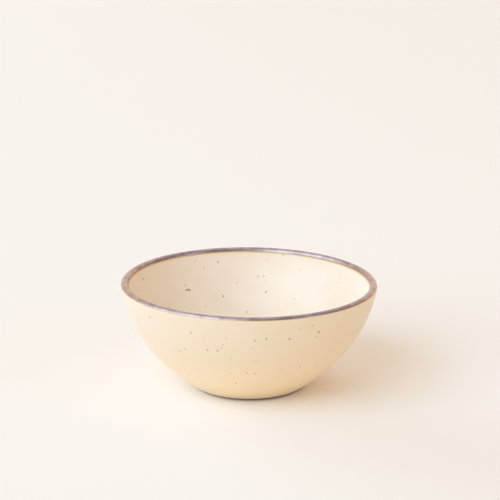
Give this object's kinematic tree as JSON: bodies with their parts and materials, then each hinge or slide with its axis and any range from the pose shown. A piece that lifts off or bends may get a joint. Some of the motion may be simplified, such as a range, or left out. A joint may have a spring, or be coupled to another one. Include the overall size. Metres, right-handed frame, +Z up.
{
  "type": "prep bowl",
  "caption": "Small round stoneware bowl with a curved wall, a rounded lip under a brown band, speckled pale yellow glaze inside and out, and a bare foot ring.",
  "frame": {"origin": "centre of the foot ring, on the plane that the bowl stands on", "axes": "+Z up along the bowl's axis, towards the open mouth; +Y away from the camera of the picture"},
  "size_m": [0.132, 0.132, 0.0555],
  "materials": {
    "stoneware": "bare fired clay, matte and slightly gritty",
    "pale_glaze": "satin pale yellow glaze with iron-brown specks",
    "iron_glaze": "glossy iron-brown glaze"
  },
  "bodies": {
    "root": {"clay_body": "stoneware", "inner_glaze": "pale_glaze", "outer_glaze": "pale_glaze", "rim_band": "iron_glaze"}
  },
  "joints": []
}
